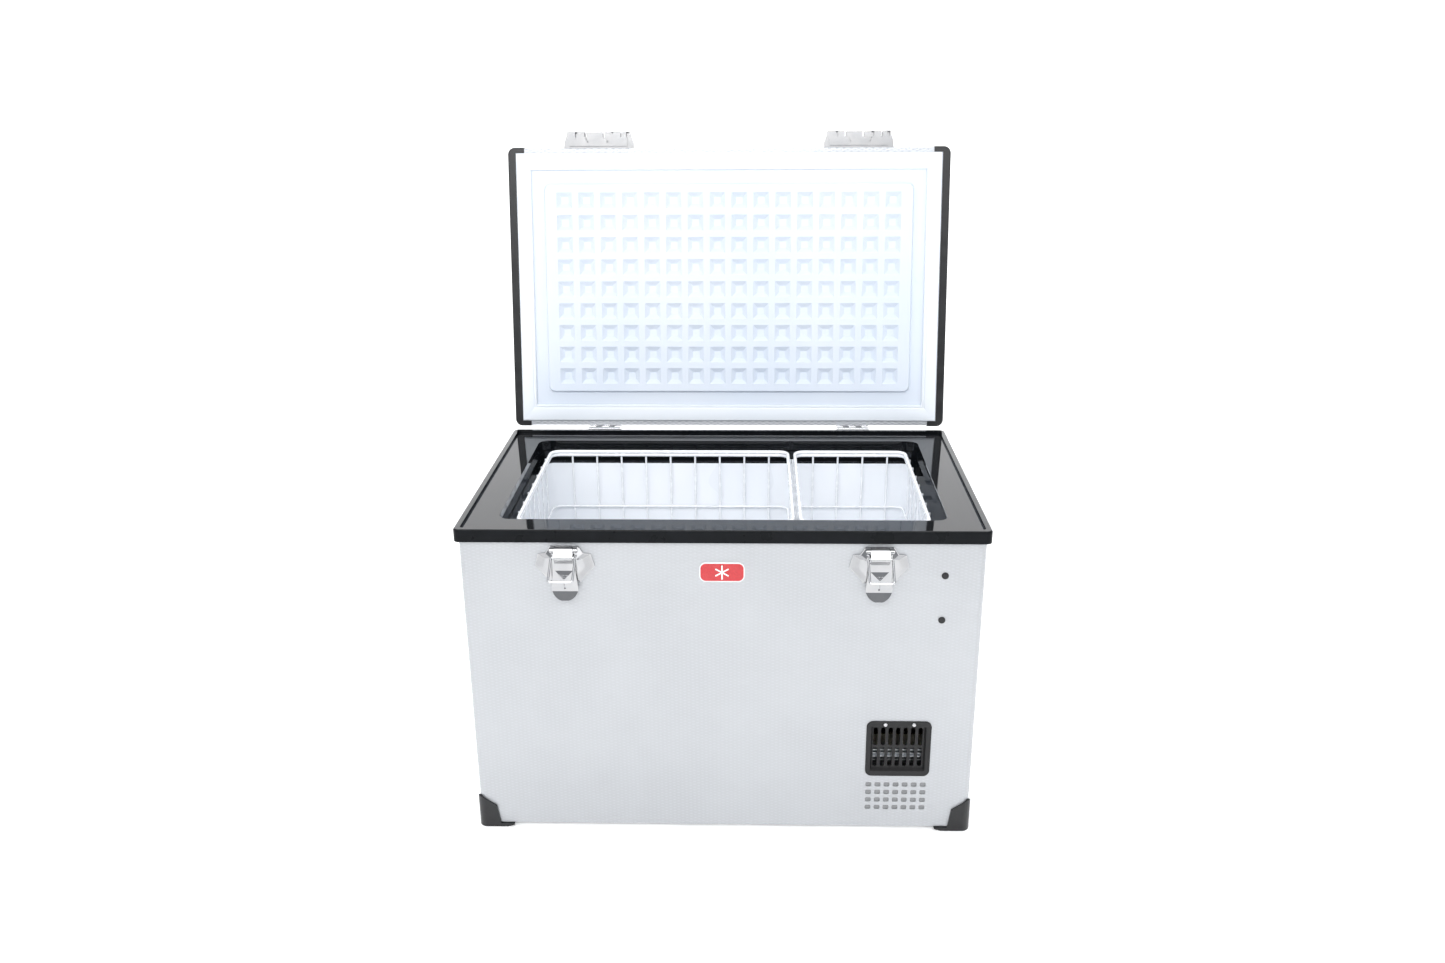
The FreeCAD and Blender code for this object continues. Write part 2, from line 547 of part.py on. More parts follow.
def ac_inlet():
    x, y = BODY_X, INLET_Y
    flange = side_block(AC_FLANGE, y, AC_Z, x, x + 2.5, 5.0)
    body = side_block(AC_BODY, y, AC_Z, x - 22, x + 0.5, 2.9)
    socket = side_block(AC_SOCKET, y, AC_Z, x - 18, x + 9, 3.0)
    blades = [box(x - 19, y - 1, AC_Z + dz - 2.5, x - 5, y + 1, AC_Z + dz + 2.5) for dz in (-6, 0, 6)]
    add("ac_inlet", flange.fuse(body).cut(socket).fuse(blades))


# ---- carry handles ---------------------------------------------------------------------------
def handle_plate():
    """Backing plate with two lugs that carry the bail."""
    z = HANDLE_Z
    plate = side_tile(-80, z - 17, 80, z + 17, BODY_X, BODY_X + 2, 8.0)
    plate = plate.cut(side_tile(-48, z - 9, 48, z + 9, BODY_X - 1, BODY_X + 3, 6.0))
    tip = HANDLE_X + 8
    lugs = []
    for side in (-1, 1):
        y0 = side * LUG_Y - LUG_HALF
        block = box(BODY_X + 1.5, y0, z - 9, tip, y0 + 2 * LUG_HALF, z + 9)
        ends = [e for e in block.Edges if e.BoundBox.XMin > tip - 0.1 and e.BoundBox.YLength > 1]
        lugs.append(block.makeFillet(7.0, ends))
    bore = rod((HANDLE_X, -90, z), (HANDLE_X, 90, z), HANDLE_ROD + FIT)
    return plate.fuse(lugs).cut(bore).removeSplitter()


def handle_bail():
    low = HANDLE_Z - HANDLE_DROP
    flat = ((-68, HANDLE_Z), (-50, HANDLE_Z), (-50, low), (50, low), (50, HANDLE_Z), (68, HANDLE_Z))
    return bent_rod([(HANDLE_X, y, z) for y, z in flat], HANDLE_ROD, 5.5)


def handle_grip():
    low = HANDLE_Z - HANDLE_DROP
    sleeve = rod((HANDLE_X, -42, low), (HANDLE_X, 42, low), HANDLE_GRIP)
    sleeve = sleeve.makeFillet(2.5, [e for e in sleeve.Edges if e.Closed])
    return sleeve.cut(rod((HANDLE_X, -60, low), (HANDLE_X, 60, low), HANDLE_ROD))


def handles():
    pieces = {"handle_plate": handle_plate(), "handle_bail": handle_bail(), "handle_grip": handle_grip()}
    for name, shape in pieces.items():
        add(name + "_right", shape)
        add(name + "_left", mirror_x(shape))


# ---- hinges ----------------------------------------------------------------------------------
def knuckles(which):
    """Barrel segments: 0 for the chest's three, 1 for the lid's two."""
    pitch = HINGE_WIDE / 5
    found = []
    for i in range(5):
        if i % 2 == which:
            x0 = -HINGE_WIDE / 2 + pitch * i + 0.2
            found.append((x0, x0 + pitch - 0.4))
    return found


def hinge_half(which, solids):
    """Leaf made of solids plus its share of the barrel: 0 stands on the chest, 1 hangs from the lid."""
    shelf = RIM_TOP - RIM_SKIRT - 1.0
    foot = LID_BOTTOM + 14
    for x0, x1 in knuckles(which):
        solids.append(rod((x0, HINGE_Y, HINGE_Z), (x1, HINGE_Y, HINGE_Z), KNUCKLE))
        if which == 0:
            solids.append(box(x0, HINGE_Y - 3, shelf - 4, x1, HINGE_Y + 3, HINGE_Z))
        else:
            solids.append(box(x0, HINGE_Y - KNUCKLE, HINGE_Z, x1, HINGE_Y + 2.5, foot))
            solids.append(box(x0, DEPTH / 2 - TRIM, LID_BOTTOM + 9, x1, HINGE_Y + 2.5, foot))
    return union(solids)


def hinges():
    half = HINGE_WIDE / 2
    shelf = RIM_TOP - RIM_SKIRT - 1.0
    fixed = [tile(-half, 392, half, shelf, BODY_Y, BODY_Y + 3, 2.0),
             box(-half, BODY_Y, shelf - 4, half, HINGE_Y + 3, shelf)]
    swing = [box(-half, DEPTH / 2 - TRIM, LID_BOTTOM + 9, half, DEPTH / 2 + 1.4, LID_TOP - 4)]
    ends = [(s * (half + 2), HINGE_Y, HINGE_Z) for s in (-1, 1)]
    body_leaf = hinge_half(0, fixed).cut(rod(*ends, PIN))
    lid_leaf = hinge_half(1, swing).cut(rod(*ends, PIN + FIT))
    pin = rod((-half - 1, HINGE_Y, HINGE_Z), (half + 1, HINGE_Y, HINGE_Z), PIN)
    pins = []
    for name, side in (("left", -1), ("right", 1)):
        add("hinge_body_leaf_" + name, moved(body_leaf, side * HINGE_X))
        add_lid("hinge_lid_leaf_" + name, moved(lid_leaf, side * HINGE_X))
        pins.append(moved(pin, side * HINGE_X))
    add("hinge_pins", Part.makeCompound(pins))


# ---- lid -------------------------------------------------------------------------------------
def lid_shell():
    outer = slab(SHELL_X, SHELL_Y, SHELL_LOW, SHELL_HIGH, SHELL_CORNER)
    top = [e for e in outer.Edges if e.BoundBox.ZMin > SHELL_HIGH - 0.1]
    outer = outer.makeFillet(3.0, top)
    low, high = SHELL_LOW + SKIN, SHELL_HIGH - SKIN
    inner = slab(SHELL_X - SKIN, SHELL_Y - SKIN, low, high, SHELL_CORNER - SKIN)
    mouth = slab(GASKET_OUT[0] - 1, GASKET_OUT[1] - 1, SHELL_LOW - 1, SHELL_LOW + 5, 4.0)
    add_lid("lid_shell", outer.cut([inner, mouth]))


def lid_trims():
    """Plastic channels over the lid's two ends, wrapping its four corners."""
    outer = slab(WIDTH / 2, DEPTH / 2, LID_BOTTOM, LID_TOP, SHELL_CORNER + 2)
    outer = outer.makeFillet(2.0, [e for e in outer.Edges if e.BoundBox.ZLength < 0.1])
    shell = slab(SHELL_X, SHELL_Y, SHELL_LOW, SHELL_HIGH, SHELL_CORNER)
    reach = DEPTH / 2 - 8.5
    band = box(WIDTH / 2 - TRIM_BAND, -FAR, 0, FAR, FAR, FAR)
    wraps = [box(WIDTH / 2 - TRIM_WRAP, y0, 0, FAR, y1, FAR) for y0, y1 in ((-FAR, -reach), (reach, FAR))]
    right = outer.cut(shell).common(band.fuse(wraps)).removeSplitter()
    add_lid("lid_trim_right", right)
    add_lid("lid_trim_left", mirror_x(right))


def lid_inner_panel():
    face = SHELL_LOW - 1.0
    plate = slab(GASKET_OUT[0] - 1.2, GASKET_OUT[1] - 1.2, face, face + 3.5, 4.0)
    top = (PLATFORM[0] - 3, PLATFORM[1] - 3)
    raised = frustum(PLATFORM, face + 1, top, PLATFORM_LOW)
    upright = [e for e in raised.Edges if e.BoundBox.ZLength > 5]
    raised = raised.makeFillet(10.0, upright)
    pits = []
    for column in range(PIT_COLUMNS):
        for row in range(PIT_ROWS):
            x = (column - (PIT_COLUMNS - 1) / 2) * PIT_PITCH
            y = (row - (PIT_ROWS - 1) / 2) * PIT_PITCH
            pits.append(frustum((PIT_HALF, PIT_HALF), PLATFORM_LOW, (PIT_FLOOR, PIT_FLOOR),
                                PLATFORM_LOW + PIT_DEEP, (x, y)))
    add_lid("lid_inner_panel", plate.fuse(raised).cut(pits))


def lid_foam():
    gap = SKIN + 0.1
    low, high = SHELL_LOW + 2.6, SHELL_HIGH - gap
    add_lid("lid_foam", slab(SHELL_X - gap, SHELL_Y - gap, low, high, SHELL_CORNER))


def strip(out_x, out_y, in_x, in_y, z0, z1, end):
    """One mitred side of a picture frame: end is the direction it lies in."""
    side = end[0] + end[1]
    if end[0] == 0:
        ring = [(-out_x, side * out_y), (out_x, side * out_y), (in_x, side * in_y), (-in_x, side * in_y)]
    else:
        ring = [(side * out_x, -out_y), (side * out_x, out_y), (side * in_x, in_y), (side * in_x, -in_y)]
    return outline([(x, y, z0) for x, y in ring], (0, 0, 1), z1 - z0)


def lid_gasket():
    (ox, oy), (ix, iy) = GASKET_OUT, GASKET_IN
    base, face = SHELL_LOW - 1.0, RIM_PLANE + 0.4
    strips = []
    for end in ((0, -1), (0, 1), (-1, 0), (1, 0)):
        foot = strip(ox, oy, ix, iy, face + 2.0, base, end)
        bead = strip(ox - 3, oy - 3, ix + 6, iy + 6, face, face + 2.1, end)
        lip = strip(ix + 3, iy + 3, ix, iy, face + 1.0, face + 2.1, end)
        strips.append(foot.fuse([bead, lip]).removeSplitter())
    add_lid("lid_gasket", Part.makeCompound(strips))


def lid_plug():
    face = SHELL_LOW - 1.0
    cap = Part.makeCylinder(5.0, 0.8, V(303.5, -15.0, face), V(0, 0, -1))
    add_lid("lid_plug", cap.makeFillet(0.5, [e for e in cap.Edges if e.BoundBox.ZMax < face - 0.7]))


# ---- toggle latches: drawn with x across, y outwards from the chest's front, z up ---------------
def flat_solid(ring, z0, z1):
    """Prism from (x, out) points between two heights."""
    return outline([(x, u, z0) for x, u in ring], (0, 0, 1), z1 - z0)


def flat_block(half, u0, u1, z0, z1):
    return box(-half, u0, z0, half, u1, z1)


def upright_solid(ring, u0, u1):
    """Prism from (x, z) points, from u0 to u1 outwards."""
    return outline([(x, u0, z) for x, z in ring], (0, 1, 0), u1 - u0)


def place_latch(shape, side):
    """Put a latch piece on the chest's front, left (-1) or right (1)."""
    copy = shape.mirror(V(0, 0, 0), V(0, 1, 0))
    copy.translate(V(side * LATCH_X, FRONT, 0))
    return copy


def keeper():
    """Toothed casting on the lid's front edge, with a notched ledge that takes the bail."""
    back = DEPTH / 2 - TRIM - BODY_Y
    out = back + KEEPER_OUT
    top = LEDGE_TOP + KEEPER_HIGH
    ring = [(54.5, back), (54, back + 10), (50.5, back + 19), (49.5, out)]
    block = flat_solid(ring + [(-x, u) for x, u in reversed(ring)], LEDGE_TOP, top)
    plate = upright_solid([(-54, top - 4), (54, top - 4), (54, top + 8), (44, top + 15), (-44, top + 15),
                           (-54, top + 8)], back, back + 2.5)
    wave = [(46, INSET + 1.5), (46, back + 15), (36, back + 15), (27, back + 12), (11, back + 13)]
    ledge = flat_solid(wave + [(-x, u) for x, u in reversed(wave)], LEDGE_TOP - LEDGE, LEDGE_TOP + 0.5)
    notches = [box(min(s * 13.2, s * 17.9), EYE_OUT - NOTCH, LEDGE_TOP - LEDGE - 1,
                   max(s * 13.2, s * 17.9), out + 9, LEDGE_TOP + 1) for s in (-1, 1)]
    seat = box(-20, EYE_OUT - NOTCH - 0.4, LEDGE_TOP, 20, out + 9, BAR_Z + NOTCH + 2)
    gaps = [box(x - 1.4, back + 17, LEDGE_TOP - 1, x + 1.4, out + 9, top + 1) for x in KEEPER_GAPS]
    slots = [box(x - 1.9, out - 9, LEDGE_TOP - 1, x + 1.9, out - 1, LEDGE_TOP + 6) for x in KEEPER_SLOTS]
    return union([block, plate, ledge]).cut(notches + gaps + slots + [seat])


def latch_base():
    """Faceted casting with two ears and the lever's pin."""
    half_ring = [(18.3, 434), (25, 423.5), (34.8, 422.5), (39.4, 405.5), (26, 390.5), (20.5, 383)]
    ring = half_ring + [(-x, z) for x, z in reversed(half_ring)]
    middle = 409
    wires = []
    for scale, u in ((0.97, 2.5), (0.7, 8.0)):
        points = [V(x * scale, u, middle + (z - middle) * scale) for x, z in ring]
        wires.append(Part.makePolygon(points + points[:1]))
    body = upright_solid(ring, 0, 2.6).fuse(Part.makeLoft(wires, True, True))
    body = body.cut([flat_block(LEVER_HALF - 0.4, 2.6, 40, 350, EYE_Z + 3),
                     flat_block(HUB_HALF + 0.5, 2.6, 40, EYE_Z - 9, 450)])
    ears = []
    for s in (-1, 1):
        x0, x1 = sorted((s * (HUB_HALF + 0.6), s * LEVER_HALF))
        ears.append(rod((x0, LEVER_OUT, LEVER_Z), (x1, LEVER_OUT, LEVER_Z), 3.3))
        ears.append(box(x0, 0.5, LEVER_Z - 3.3, x1, LEVER_OUT, LEVER_Z + 3.3))
    pin = rod((-LEVER_HALF - 1, LEVER_OUT, LEVER_Z), (LEVER_HALF + 1, LEVER_OUT, LEVER_Z), 2.0)
    return union([body] + ears + [pin])


def latch_lever():
    """Tapered plate with a rounded thumb end, a four-sided facet and a key slot."""
    half, thumb = LEVER_HALF, THUMB_Z
    profile = [(3.6, 422), (10.5, 422), (11, 404), (11, thumb + 3), (9.5, thumb - 5), (13.5, thumb - 17),
               (12.5, thumb - 19), (6.5, thumb - 13), (3.6, thumb - 3)]
    column = outline([(-half, u, z) for u, z in profile], (1, 0, 0), 2 * half)
    round_end = Part.makeCylinder(half, 40, V(0, 0, thumb), V(0, 1, 0))
    taper = upright_solid([(-12.8, 423), (12.8, 423), (14.5, 403), (half, thumb), (-half, thumb),
                           (-14.5, 403)], 0, 40)
    column = column.common(taper.fuse(round_end))
    hub_ring = [(4.6, 412), (10.5, 412), (16.5, 419.5), (17.0, 423.5), (12.4, 431), (4.6, 431)]
    hub = outline([(-HUB_HALF, u, z) for u, z in hub_ring], (1, 0, 0), 2 * HUB_HALF)
    barrel = rod((-HUB_HALF, LEVER_OUT, LEVER_Z), (HUB_HALF, LEVER_OUT, LEVER_Z), 4.0)
    middle = 391
    corners = ((-13.5, -13), (13.5, -13), (13.5, 13), (-13.5, 13), (-13.5, -13))
    wires = [Part.makePolygon([V(x * k, u, middle + z * k) for x, z in corners])
             for k, u in ((1.0, 10.5), (0.06, 14.5))]
    body = union([column, hub, barrel, Part.makeLoft(wires, True, True)])
    return body.cut([rod((-30, LEVER_OUT, LEVER_Z), (30, LEVER_OUT, LEVER_Z), 2.0 + FIT),
                     rod((-30, EYE_OUT, EYE_Z), (30, EYE_OUT, EYE_Z), BAIL_WIRE + FIT),
                     flat_block(1.1, 8.0, 20, thumb - 1.5, thumb + 11)])


def latch_bail():
    tilt = math.radians(BAIL_TILT)
    low = (EYE_OUT + BAIL_LONG * math.sin(tilt), EYE_Z - BAIL_LONG * math.cos(tilt))
    half = BAIL_HALF
    path = [(-7, EYE_OUT, EYE_Z), (-half, EYE_OUT, EYE_Z), (-half,) + low, (half,) + low,
            (half, EYE_OUT, EYE_Z), (7, EYE_OUT, EYE_Z)]
    return bent_rod(path, BAIL_WIRE, 3.0)


def latches():
    pieces = {"latch_base": latch_base(), "latch_lever": latch_lever(), "latch_bail": latch_bail()}
    catch = keeper()
    for name, side in (("left", -1), ("right", 1)):
        for node, shape in pieces.items():
            add(node + "_" + name, place_latch(shape, side))
        add_lid("keeper_" + name, place_latch(catch, side))


# ---- screws and rivets -------------------------------------------------------------------------
def row_of_screws(x, y, z, out, offsets, **sizes):
    return [screw((x + dx, y, z), out, **sizes) for dx in offsets]


def screws():
    heads = [screw((x, FRONT - FLANGE, z), (0, -1, 0)) for x, z in GRILLE_SCREWS]
    for side in (-1, 1):
        heads += [screw((side * (BODY_X + 2), y, z), (side, 0, 0), head=3.2) for y, z in HANDLE_SCREWS]
        heads += row_of_screws(side * HINGE_X, BODY_Y + 3, 408, (0, 1, 0), (-15, 0, 15), head=3.2)
        heads += row_of_screws(side * LATCH_X, FRONT - 2.6, 396, (0, -1, 0), (-20.5, 20.5),
                               head=1.4, shank=1.0)
    add("screws", Part.makeCompound(heads))


def lid_screws():
    front, rear = TRIM - DEPTH / 2 - 2.5, DEPTH / 2 + 1.4
    heads = []
    for side in (-1, 1):
        heads += row_of_screws(side * HINGE_X, rear, LID_TOP - 12, (0, 1, 0), (-15, 0, 15), head=3.2)
        heads += row_of_screws(side * LATCH_X, front, LID_TOP - 11.5, (0, -1, 0), (-35, 35), head=3.2)
    add_lid("lid_screws", Part.makeCompound(heads))


def drill_screw_holes():
    for fasteners, pieces in SCREWED.items():
        for name in pieces:
            parts[name] = parts[name].cut(parts[fasteners].Solids)


# ---- baskets -----------------------------------------------------------------------------------
def upright(x, y, floor):
    return rod((x, y, floor + 1), (x, y, BASKET_TOP), WIRE)


def basket(name, x0, x1, floor, count, shift):
    """Four walls of rails with upright wires outside them, and a wire floor."""
    levels = RAILS + ((floor + RING, RING),)
    rail_in = 2 * WIRE + RAIL - 0.5
    reach = 2 * WIRE + 2 * RAIL
    middle = (x0 + x1) / 2 + shift
    xs = [middle + (i - (count - 1) / 2) * WIRE_PITCH for i in range(count)]
    ys = [SIDE_PITCH * j for j in range(-3, 4)]
    walls = []
    for side in (-1, 1):
        y = side * (BASKET_Y - rail_in)
        rails = [rod((x0, y, z), (x1, y, z), r) for z, r in levels]
        walls.append(union(rails + [upright(x, side * (BASKET_Y - WIRE), floor) for x in xs]))
    span = BASKET_Y - reach
    for x, inward in ((x0, 1), (x1, -1)):
        rail_x = x + inward * rail_in
        rails = [rod((rail_x, -span, z), (rail_x, span, z), r) for z, r in levels]
        walls.append(union(rails + [upright(x + inward * WIRE, y, floor) for y in ys]))
    long_z, cross_z = floor + 3.5, floor + 1.5
    long_wires = [rod((x0 + reach, y, long_z), (x1 - reach, y, long_z), WIRE) for y in ys]
    cross_wires = [rod((x, -span, cross_z), (x, span, cross_z), WIRE) for x in xs]
    walls.append(union(long_wires + cross_wires))
    add(name, Part.makeCompound(walls))


# ---- build -------------------------------------------------------------------------------------
def build():
    ring = skin_ring()
    for make in (front_panel, rear_panel, side_panels):
        make(ring)
    for make in (base_pan, corner_feet, top_rim, throat_caps, inner_liner, insulation_foam, vent_grille,
                 hole_plugs, badge, condenser, fan_shroud, fan_blades, compressor, control_box,
                 refrigerant_lines, control_panel, dc_inlet, ac_inlet, handles, hinges, lid_shell,
                 lid_trims, lid_inner_panel, lid_foam, lid_gasket, lid_plug, latches, screws, lid_screws):
        make()
    for name, sizes in BASKETS.items():
        basket(name, *sizes)
    drill_screw_holes()
    os.makedirs("parts", exist_ok=True)
    for name, shape in parts.items():
        shape.exportStep("parts/%s.step" % name)
        print("%-24s solids %d  volume %.0f mm3" % (name, len(shape.Solids), shape.Volume))


build()
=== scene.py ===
"""Looks of the compressor cooler fridge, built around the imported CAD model.  Metres, +Z up."""
import json
import math

import bpy
from mathutils import Matrix, Vector


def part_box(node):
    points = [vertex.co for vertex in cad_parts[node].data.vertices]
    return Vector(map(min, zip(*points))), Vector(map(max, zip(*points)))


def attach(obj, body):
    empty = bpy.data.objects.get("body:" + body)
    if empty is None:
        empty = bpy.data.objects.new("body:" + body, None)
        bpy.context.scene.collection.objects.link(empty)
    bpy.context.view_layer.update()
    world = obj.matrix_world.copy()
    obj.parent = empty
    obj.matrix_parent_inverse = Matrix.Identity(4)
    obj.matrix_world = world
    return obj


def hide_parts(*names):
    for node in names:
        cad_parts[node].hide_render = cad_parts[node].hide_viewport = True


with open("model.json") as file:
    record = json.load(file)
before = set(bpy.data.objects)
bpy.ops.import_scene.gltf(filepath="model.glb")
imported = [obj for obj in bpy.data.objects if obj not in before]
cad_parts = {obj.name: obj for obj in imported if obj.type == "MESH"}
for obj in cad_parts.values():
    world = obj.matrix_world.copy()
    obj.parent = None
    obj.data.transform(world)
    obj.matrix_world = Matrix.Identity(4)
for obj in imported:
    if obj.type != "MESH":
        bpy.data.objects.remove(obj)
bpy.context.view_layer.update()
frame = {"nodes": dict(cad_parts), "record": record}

MM = 0.001
JOINTS = {joint["name"]: joint for joint in frame["record"]["behaviour"]["joints"]}


# ---- places read from the frame ----------------------------------------------------------------
def corners(*nodes):
    """Lowest and highest corner of one or several nodes together."""
    boxes = [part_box(node) for node in nodes]
    low = [min(b[0][i] for b in boxes) for i in range(3)]
    high = [max(b[1][i] for b in boxes) for i in range(3)]
    return Vector(low), Vector(high)


RIM_LOW, RIM_HIGH = corners("top_rim")
FRONT_Y = corners("front_panel")[0].y
MIDDLE_Y = (RIM_LOW.y + RIM_HIGH.y) / 2
HINGE = JOINTS["lid_hinge"]
HINGE_POINT = Vector(HINGE["pos_m"])
OPENING = math.radians(-HINGE["range_deg"][0])
LID_TURN = (Matrix.Translation(HINGE_POINT) @ Matrix.Rotation(OPENING, 4, Vector(HINGE["axis"]))
            @ Matrix.Translation(-HINGE_POINT))
LID_X = Vector((1, 0, 0))
LID_UP = LID_TURN.to_3x3() @ Vector((0, 0, 1))       # out of the lid's top
LID_BACK = LID_TURN.to_3x3() @ Vector((0, 1, 0))     # from the lid's front edge to its hinges


def closed_box(node):
    """Box of a lid node as it lies when the lid is shut."""
    back = LID_TURN.inverted()
    points = [back @ v.co for v in frame["nodes"][node].data.vertices]
    low = Vector([min(p[i] for p in points) for i in range(3)])
    high = Vector([max(p[i] for p in points) for i in range(3)])
    return low, high


# ---- node trees --------------------------------------------------------------------------------
class Net:
    """A material's node tree, built by short calls."""

    def __init__(self, name, **surface):
        self.material = bpy.data.materials.new(name)
        self.material.use_nodes = True
        self.tree = self.material.node_tree
        self.shader = self.tree.nodes["Principled BSDF"]
        for socket, value in surface.items():
            self.shader.inputs[socket.replace("_", " ")].default_value = value

    def node(self, kind, inputs=(), **settings):
        made = self.tree.nodes.new(kind)
        for key, value in settings.items():
            setattr(made, key, value)
        for slot, value in inputs:
            self.put(made.inputs[slot], value)
        return made

    def put(self, socket, value):
        if isinstance(value, bpy.types.NodeSocket):
            self.tree.links.new(value, socket)
        else:
            socket.default_value = value

    def math(self, operation, a, b=0.0):
        return self.node("ShaderNodeMath", ((0, a), (1, b)), operation=operation).outputs[0]

    def position(self):
        return self.node("ShaderNodeTexCoord").outputs["Object"]

    def normal(self):
        return self.node("ShaderNodeTexCoord").outputs["Normal"]

    def dot(self, vector, direction):
        made = self.node("ShaderNodeVectorMath", ((0, vector),), operation="DOT_PRODUCT")
        made.inputs[1].default_value = direction
        return made.outputs["Value"]

    def noise(self, scale, detail=3.0, roughness=0.55, vector=None):
        inputs = [("Scale", scale), ("Detail", detail), ("Roughness", roughness),
                  ("Vector", vector or self.position())]
        return self.node("ShaderNodeTexNoise", inputs).outputs["Fac"]

    def smooth(self, value, low, high, out_low=0.0, out_high=1.0):
        inputs = ((0, value), (1, low), (2, high), (3, out_low), (4, out_high))
        return self.node("ShaderNodeMapRange", inputs, interpolation_type="SMOOTHSTEP").outputs[0]

    def mix(self, factor, a, b):
        made = self.node("ShaderNodeMix", data_type="RGBA")
        self.put(made.inputs["Factor"], factor)
        colours = [socket for socket in made.inputs if socket.type == "RGBA"]
        for socket, value in zip(colours, (a, b)):
            self.put(socket, value)
        return [socket for socket in made.outputs if socket.type == "RGBA"][0]

    def bump(self, height, distance, strength=1.0, under=None):
        inputs = [("Height", height), ("Distance", distance), ("Strength", strength)]
        if under:
            inputs.append(("Normal", under))
        return self.node("ShaderNodeBump", inputs).outputs["Normal"]

    def finish(self, colour=None, roughness=None, normal=None, metallic=None):
        for socket, value in (("Base Color", colour), ("Roughness", roughness), ("Normal", normal),
                              ("Metallic", metallic)):
            if value is not None:
                self.put(self.shader.inputs[socket], value)
        return self.material


def rgb(red, green, blue):
    return (red, green, blue, 1.0)


# ---- materials ---------------------------------------------------------------------------------
DOT_PITCH = (11.4 * MM, 4.6 * MM)       # the embossing's full period across and up
DOT_HALF = (2.7 * MM, 1.25 * MM)        # half size of one oval dot
LIP_OUTER, LIP_INNER = 7 * MM, 8.5 * MM  # the rim's lip, in from its outer edge
SCREEN_FACE, SCREEN_BACK = FRONT_Y + 3 * MM, FRONT_Y + 4 * MM
BADGE_ROUND = 9 * MM                    # the badge's corner radius
BADGE_BORDER = (7.2 * MM, 7.5 * MM)     # where the border starts, out from the corners' centres
RAISED_FACE = (0.5 * MM, 0.3 * MM)      # how near the badge's front face the snowflake lies


def embossing(net, across, up):
    """Staggered oval dots pressed into the sheet: 1 on a dot, 0 between dots."""
    place = net.position()
    dots = None
    for shift in (0.0, 0.5):
        offsets = []
        for direction, pitch, half in zip((across, up), DOT_PITCH, DOT_HALF):
            cell = net.math("ADD", net.math("MULTIPLY", net.dot(place, direction), 1 / pitch), 100 + shift)
            offset = net.math("SUBTRACT", net.math("FRACT", cell), 0.5)
            offsets.append(net.math("MULTIPLY", offset, pitch / half))
        squares = [net.math("MULTIPLY", value, value) for value in offsets]
        radius = net.math("SQRT", net.math("ADD", squares[0], squares[1]))
        dot = net.smooth(radius, 1.15, 0.3)
        dots = dot if dots is None else net.math("MAXIMUM", dots, dot)
    return dots


def embossed_steel(name, across, up):
    net = Net(name, Metallic=0.55, Coat_Weight=0.25, Coat_Roughness=0.22)
    dots = embossing(net, across, up)
    cloud = net.noise(9.0, 2.0)
    scuffs = net.smooth(net.noise(140.0, 5.0, 0.7), 0.58, 0.75)
    base = net.mix(net.smooth(cloud, 0.3, 0.7), rgb(0.475, 0.487, 0.504), rgb(0.503, 0.516, 0.533))
    # Painted highlight: the pressed dots are coloured lighter than the sheet around them.
    base = net.mix(net.math("MULTIPLY", dots, 0.4), base, rgb(0.58, 0.60, 0.63))
    roughness = net.math("ADD", net.smooth(cloud, 0.3, 0.7, 0.36, 0.42), net.math("MULTIPLY", scuffs, 0.06))
    fine = net.bump(net.noise(700.0, 2.0), 0.00005, 0.3)
    return net.finish(base, roughness, net.bump(dots, 0.0003, 0.55, fine))


def lid_steel():
    """Embossed on the lid's broad faces, with the same dots running round its front and back edges."""
    net = Net("lid_steel", Metallic=0.55, Coat_Weight=0.25, Coat_Roughness=0.22)
    flat = embossing(net, LID_X, LID_BACK)
    edge = embossing(net, LID_X, LID_UP)
    facing = net.math("ABSOLUTE", net.dot(net.normal(), LID_UP))
    share = net.smooth(facing, 0.6, 0.8)
    dots = net.math("ADD", net.math("MULTIPLY", flat, share),
                    net.math("MULTIPLY", edge, net.math("SUBTRACT", 1.0, share)))
    cloud = net.noise(9.0, 2.0)
    base = net.mix(net.smooth(cloud, 0.3, 0.7), rgb(0.53, 0.55, 0.58), rgb(0.575, 0.59, 0.62))
    # Painted shade: the pressed dots are coloured darker than the sheet around them.
    base = net.mix(net.math("MULTIPLY", dots, 0.6), base, rgb(0.50, 0.52, 0.55))
    fine = net.bump(net.noise(700.0, 2.0), 0.00005, 0.3)
    return net.finish(base, net.smooth(cloud, 0.3, 0.7, 0.36, 0.42), net.bump(dots, 0.0005, 0.8, fine))


def galvanised():
    net = Net("galvanised_base", Metallic=0.8)
    grain = net.noise(60.0, 4.0, 0.6)
    base = net.mix(net.smooth(grain, 0.35, 0.65), rgb(0.42, 0.43, 0.45), rgb(0.58, 0.59, 0.60))
    return net.finish(base, net.smooth(grain, 0.3, 0.7, 0.35, 0.55), net.bump(grain, 0.0002, 0.3))


